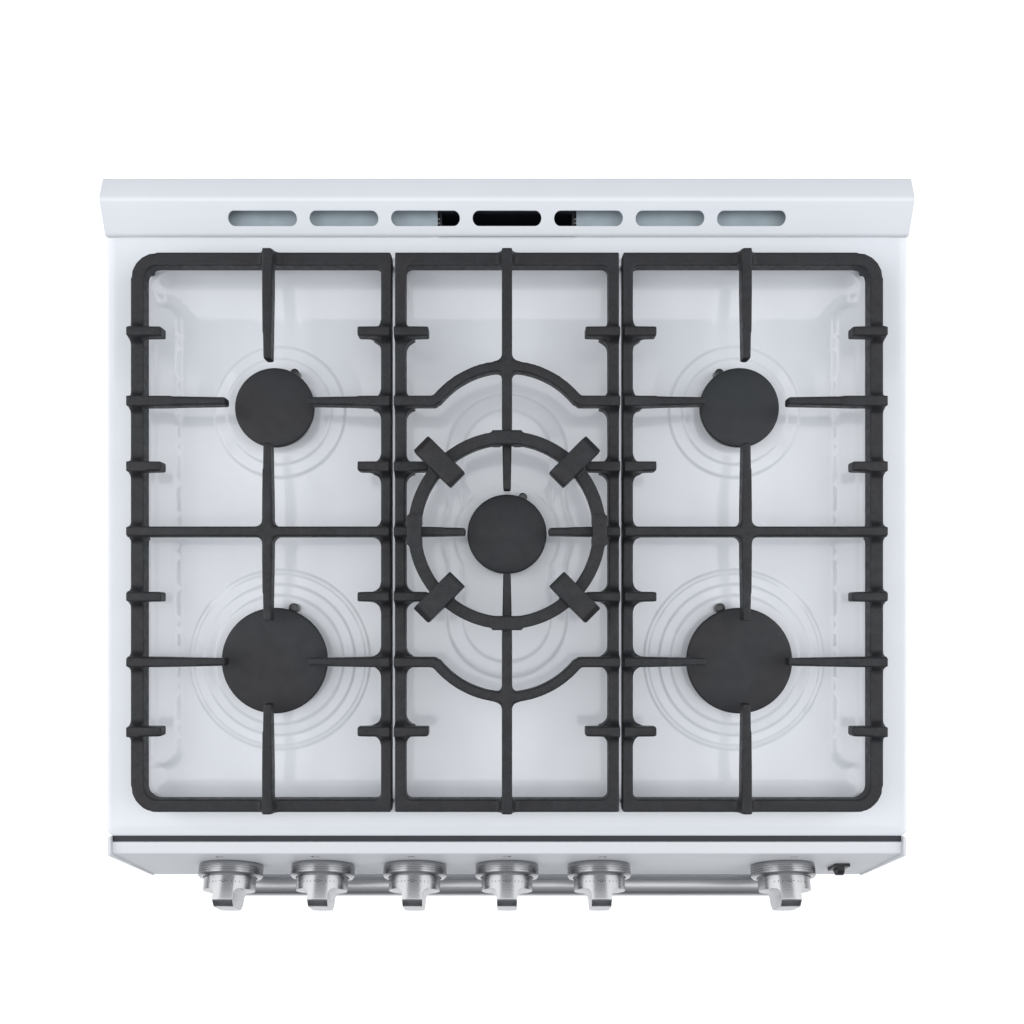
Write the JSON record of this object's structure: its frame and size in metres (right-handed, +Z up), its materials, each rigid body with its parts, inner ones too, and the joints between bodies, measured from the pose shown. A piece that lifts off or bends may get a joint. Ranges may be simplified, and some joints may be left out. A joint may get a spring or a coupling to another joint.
{
  "type": "freestanding gas range",
  "caption": "White freestanding gas range with sealed burners, cast iron grates, wok ring, sloping knob panel, gas oven with drop-down door, and storage drawer.",
  "frame": {"origin": "on the floor under the middle of the whole object's box", "axes": "+Z up, -Y to the user at the front, +Y to the wall, +X to the user's right"},
  "size_m": [0.762, 0.724, 0.98],
  "materials": {
    "white_enamel": "glossy fired white enamel",
    "cast_iron": "matt black enamelled casting with fine grain",
    "cap_enamel": "matt black enamel",
    "brushed_steel": "satin brushed",
    "burner_alloy": "cast, satin",
    "zinc_steel": "zinc coated sheet and tube",
    "brass": "machined",
    "ceramic": "glazed insulator",
    "dark_frame": "dark enamel",
    "oven_enamel": "dark blue enamel with pale flecks",
    "insulation": "glass fibre blanket",
    "rack_chrome": "bright plated wire",
    "black_plastic": "moulded, fine texture",
    "rubber": "woven and rubber seal",
    "window_glass": "tinted tempered glass",
    "lamp_glass": "clear lamp cover"
  },
  "bodies": {
    "root": {"cooktop": "white_enamel", "backguard": "white_enamel", "flue_duct": "dark_frame", "burner_cups": "zinc_steel", "burner_heads": "burner_alloy", "spark_electrodes": "ceramic", "control_panel": "white_enamel", "knob_bezels": "brushed_steel", "switch_housing": "black_plastic", "gas_manifold": "zinc_steel", "gas_valves": "brass", "gas_inlet": "zinc_steel", "side_panel_left": "white_enamel", "side_panel_right": "white_enamel", "back_panel": "zinc_steel", "base_frame": "zinc_steel", "front_frame": "dark_frame", "oven_cavity": "oven_enamel", "oven_insulation": "insulation", "oven_floor": "oven_enamel", "oven_burners": "zinc_steel", "rack_guides": "rack_chrome", "oven_light": "lamp_glass", "door_hinges": "zinc_steel"},
    "door": {"door_skin": "white_enamel", "door_window": "window_glass", "door_liner": "oven_enamel", "door_gasket": "rubber", "door_handle": "brushed_steel", "handle_brackets": "brushed_steel"},
    "drawer": {"drawer_front": "white_enamel", "drawer_box": "zinc_steel"},
    "rack_lower": {"oven_rack_lower": "rack_chrome"},
    "rack_upper": {"oven_rack_upper": "rack_chrome"},
    "cap_rear_left": {"cap_rear_left": "cap_enamel"},
    "cap_rear_right": {"cap_rear_right": "cap_enamel"},
    "cap_middle": {"cap_middle": "cap_enamel"},
    "cap_front_left": {"cap_front_left": "cap_enamel"},
    "cap_front_right": {"cap_front_right": "cap_enamel"},
    "grate_left": {"grate_left": "cast_iron"},
    "grate_middle": {"grate_middle": "cast_iron"},
    "grate_right": {"grate_right": "cast_iron"},
    "wok_ring": {"wok_ring": "cast_iron"},
    "switch_rocker": {"switch_rocker": "black_plastic"},
    "leg_front_left": {"leg_front_left": "black_plastic"},
    "leg_front_right": {"leg_front_right": "black_plastic"},
    "leg_rear_left": {"leg_rear_left": "black_plastic"},
    "leg_rear_right": {"leg_rear_right": "black_plastic"},
    "stem_front_left": {"stem_front_left": "brass"},
    "knob_front_left": {"knob_front_left": "brushed_steel"},
    "stem_rear_left": {"stem_rear_left": "brass"},
    "knob_rear_left": {"knob_rear_left": "brushed_steel"},
    "stem_middle": {"stem_middle": "brass"},
    "knob_middle": {"knob_middle": "brushed_steel"},
    "stem_rear_right": {"stem_rear_right": "brass"},
    "knob_rear_right": {"knob_rear_right": "brushed_steel"},
    "stem_front_right": {"stem_front_right": "brass"},
    "knob_front_right": {"knob_front_right": "brushed_steel"},
    "stem_oven": {"stem_oven": "brass"},
    "knob_oven": {"knob_oven": "brushed_steel"}
  },
  "joints": [
    {"name": "door_hinge", "type": "hinge", "parent": "root", "child": "door", "pos_m": [0, -0.28, 0.234], "axis": [1, 0, 0], "range_deg": [0, 90], "stiffness_Nm_per_rad": 19, "springref_deg": -11.46},
    {"name": "drawer_slide", "type": "slide", "parent": "root", "child": "drawer", "axis": [0, -1, 0], "range_m": [0, 0.35]},
    {"name": "rack_lower_slide", "type": "slide", "parent": "root", "child": "rack_lower", "axis": [0, -1, 0], "range_m": [0, 0.055]},
    {"name": "rack_upper_slide", "type": "slide", "parent": "root", "child": "rack_upper", "axis": [0, -1, 0], "range_m": [0, 0.055]},
    {"name": "grate_left_lift", "type": "slide", "parent": "root", "child": "grate_left", "axis": [0, 0, 1], "range_m": [0, 0.12]},
    {"name": "grate_middle_lift", "type": "slide", "parent": "root", "child": "grate_middle", "axis": [0, 0, 1], "range_m": [0, 0.12]},
    {"name": "grate_right_lift", "type": "slide", "parent": "root", "child": "grate_right", "axis": [0, 0, 1], "range_m": [0, 0.12]},
    {"name": "wok_ring_lift", "type": "slide", "parent": "grate_middle", "child": "wok_ring", "axis": [0, 0, 1], "range_m": [0, 0.08]},
    {"name": "cap_rear_left_lift", "type": "slide", "parent": "root", "child": "cap_rear_left", "axis": [0, 0, 1], "range_m": [0, 0.012]},
    {"name": "cap_rear_right_lift", "type": "slide", "parent": "root", "child": "cap_rear_right", "axis": [0, 0, 1], "range_m": [0, 0.012]},
    {"name": "cap_middle_lift", "type": "slide", "parent": "root", "child": "cap_middle", "axis": [0, 0, 1], "range_m": [0, 0.012]},
    {"name": "cap_front_left_lift", "type": "slide", "parent": "root", "child": "cap_front_left", "axis": [0, 0, 1], "range_m": [0, 0.012]},
    {"name": "cap_front_right_lift", "type": "slide", "parent": "root", "child": "cap_front_right", "axis": [0, 0, 1], "range_m": [0, 0.012]},
    {"name": "front_left_knob_turn", "type": "hinge", "parent": "root", "child": "stem_front_left", "pos_m": [-0.279, -0.30355, 0.85], "axis": [0, -0.9225, 0.3859], "range_deg": [0, 210]},
    {"name": "front_left_knob_push", "type": "slide", "parent": "stem_front_left", "child": "knob_front_left", "axis": [0, 0.9225, -0.3859], "range_m": [0, 0.003], "stiffness_N_per_m": 1500, "springref_m": -0.003},
    {"name": "rear_left_knob_turn", "type": "hinge", "parent": "root", "child": "stem_rear_left", "pos_m": [-0.186, -0.30355, 0.85], "axis": [0, -0.9225, 0.3859], "range_deg": [0, 210]},
    {"name": "rear_left_knob_push", "type": "slide", "parent": "stem_rear_left", "child": "knob_rear_left", "axis": [0, 0.9225, -0.3859], "range_m": [0, 0.003], "stiffness_N_per_m": 1500, "springref_m": -0.003},
    {"name": "middle_knob_turn", "type": "hinge", "parent": "root", "child": "stem_middle", "pos_m": [-0.093, -0.30355, 0.85], "axis": [0, -0.9225, 0.3859], "range_deg": [0, 210]},
    {"name": "middle_knob_push", "type": "slide", "parent": "stem_middle", "child": "knob_middle", "axis": [0, 0.9225, -0.3859], "range_m": [0, 0.003], "stiffness_N_per_m": 1500, "springref_m": -0.003},
    {"name": "rear_right_knob_turn", "type": "hinge", "parent": "root", "child": "stem_rear_right", "pos_m": [0, -0.30355, 0.85], "axis": [0, -0.9225, 0.3859], "range_deg": [0, 210]},
    {"name": "rear_right_knob_push", "type": "slide", "parent": "stem_rear_right", "child": "knob_rear_right", "axis": [0, 0.9225, -0.3859], "range_m": [0, 0.003], "stiffness_N_per_m": 1500, "springref_m": -0.003},
    {"name": "front_right_knob_turn", "type": "hinge", "parent": "root", "child": "stem_front_right", "pos_m": [0.093, -0.30355, 0.85], "axis": [0, -0.9225, 0.3859], "range_deg": [0, 210]},
    {"name": "front_right_knob_push", "type": "slide", "parent": "stem_front_right", "child": "knob_front_right", "axis": [0, 0.9225, -0.3859], "range_m": [0, 0.003], "stiffness_N_per_m": 1500, "springref_m": -0.003},
    {"name": "oven_knob_turn", "type": "hinge", "parent": "root", "child": "stem_oven", "pos_m": [0.279, -0.30355, 0.85], "axis": [0, -0.9225, 0.3859], "range_deg": [0, 270]},
    {"name": "oven_knob_push", "type": "slide", "parent": "stem_oven", "child": "knob_oven", "axis": [0, 0.9225, -0.3859], "range_m": [0, 0.003], "stiffness_N_per_m": 1500, "springref_m": -0.003},
    {"name": "light_switch", "type": "hinge", "parent": "root", "child": "switch_rocker", "pos_m": [0.338, -0.30679, 0.84485], "axis": [1, 0, 0], "range_deg": [0, 16]},
    {"name": "leg_front_left_screw", "type": "slide", "parent": "root", "child": "leg_front_left", "axis": [0, 0, -1], "range_m": [0, 0.028]},
    {"name": "leg_front_right_screw", "type": "slide", "parent": "root", "child": "leg_front_right", "axis": [0, 0, -1], "range_m": [0, 0.028]},
    {"name": "leg_rear_left_screw", "type": "slide", "parent": "root", "child": "leg_rear_left", "axis": [0, 0, -1], "range_m": [0, 0.028]},
    {"name": "leg_rear_right_screw", "type": "slide", "parent": "root", "child": "leg_rear_right", "axis": [0, 0, -1], "range_m": [0, 0.028]}
  ]
}
